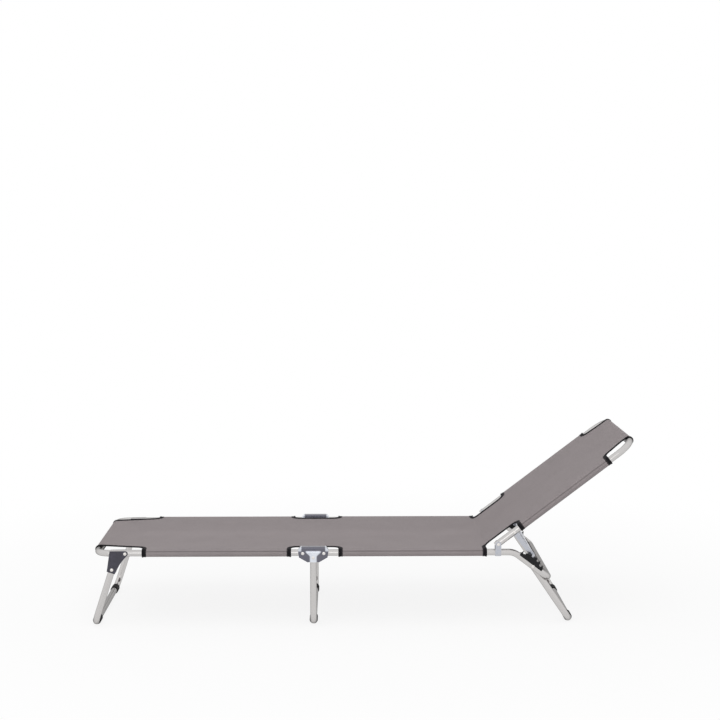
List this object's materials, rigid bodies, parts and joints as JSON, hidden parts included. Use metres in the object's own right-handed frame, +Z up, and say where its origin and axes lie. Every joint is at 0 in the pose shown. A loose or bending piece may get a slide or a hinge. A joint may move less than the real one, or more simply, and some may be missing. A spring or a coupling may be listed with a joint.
{
  "type": "folding sun lounger",
  "caption": "Folding sun lounger with a tubular frame, a fabric sling, fold-away legs and a backrest propped in racks.",
  "frame": {"origin": "on the floor, under the middle of the whole object", "axes": "+X towards the head end, +Y towards the far side in the picture, +Z up"},
  "size_m": [1.8394, 0.591, 0.6398],
  "materials": {
    "tube_metal": "satin",
    "bracket_steel": "bright zinc plating",
    "rivet_steel": "bright",
    "dark_bracket": "dark grey, satin",
    "rack_plastic": "matt",
    "pad_rubber": "matt",
    "sling_fabric": "woven mesh"
  },
  "bodies": {
    "seat": {"seat_frame": "tube_metal", "back_bracket_near": "bracket_steel", "back_bracket_far": "bracket_steel", "back_pivot_rivet_near": "rivet_steel", "back_pivot_rivet_far": "rivet_steel", "prop_rack_near": "rack_plastic", "prop_rack_far": "rack_plastic", "sling_seat": "sling_fabric"},
    "mid_hinge": {"mid_hinge_near": "bracket_steel", "mid_hinge_far": "bracket_steel", "mid_leg": "tube_metal", "mid_seat_rivet_near": "rivet_steel", "mid_seat_rivet_far": "rivet_steel", "mid_foot_rivet_near": "rivet_steel", "mid_foot_rivet_far": "rivet_steel", "mid_leg_rivet_near": "rivet_steel", "mid_leg_rivet_far": "rivet_steel", "mid_pad_near": "pad_rubber", "mid_pad_far": "pad_rubber", "sling_middle": "sling_fabric"},
    "foot_section": {"foot_frame": "tube_metal", "sling_foot": "sling_fabric"},
    "foot_leg": {"foot_leg": "tube_metal", "foot_leg_bracket_near": "dark_bracket", "foot_leg_bracket_far": "dark_bracket", "foot_leg_pivot_rivet_near": "rivet_steel", "foot_leg_pivot_rivet_far": "rivet_steel", "foot_leg_lower_rivet_near": "rivet_steel", "foot_leg_lower_rivet_far": "rivet_steel", "foot_pad_near": "pad_rubber", "foot_pad_far": "pad_rubber"},
    "rear_leg": {"rear_leg": "tube_metal", "rear_leg_rivet_near": "rivet_steel", "rear_leg_rivet_far": "rivet_steel", "rear_leg_spacer_near": "rack_plastic", "rear_leg_spacer_far": "rack_plastic", "rear_pad_near": "pad_rubber", "rear_pad_far": "pad_rubber"},
    "backrest": {"back_frame": "tube_metal", "sling_back": "sling_fabric"},
    "prop": {"prop_arm_near": "bracket_steel", "prop_arm_far": "bracket_steel", "prop_bar": "tube_metal", "prop_rivet_near": "rivet_steel", "prop_rivet_far": "rivet_steel"}
  },
  "joints": [
    {"name": "mid_fold_seat", "type": "hinge", "parent": "seat", "child": "mid_hinge", "pos_m": [-0.13086, 0, 0.256], "axis": [0, -1, 0], "range_deg": [0, 90]},
    {"name": "mid_fold_foot", "type": "hinge", "parent": "mid_hinge", "child": "foot_section", "pos_m": [-0.20186, 0, 0.256], "axis": [0, -1, 0], "range_deg": [0, 88]},
    {"name": "foot_leg_fold", "type": "hinge", "parent": "foot_section", "child": "foot_leg", "pos_m": [-0.79956, 0, 0.256], "axis": [0, -1, 0], "range_deg": [0, 107]},
    {"name": "rear_leg_fold", "type": "hinge", "parent": "seat", "child": "rear_leg", "pos_m": [0.57553, 0, 0.20786], "axis": [0, 1, 0], "range_deg": [0, 132]},
    {"name": "backrest_recline", "type": "hinge", "parent": "seat", "child": "backrest", "pos_m": [0.45764, 0, 0.2847], "axis": [0, 1, 0], "range_deg": [-22.7, 37.3]},
    {"name": "prop_swing", "type": "hinge", "parent": "backrest", "child": "prop", "pos_m": [0.51174, 0, 0.32591], "axis": [0, 1, 0], "range_deg": [-47, 29]}
  ],
  "couplings": [
    {"joint": "prop_swing", "follows": "backrest_recline", "ratio": -1.25}
  ]
}
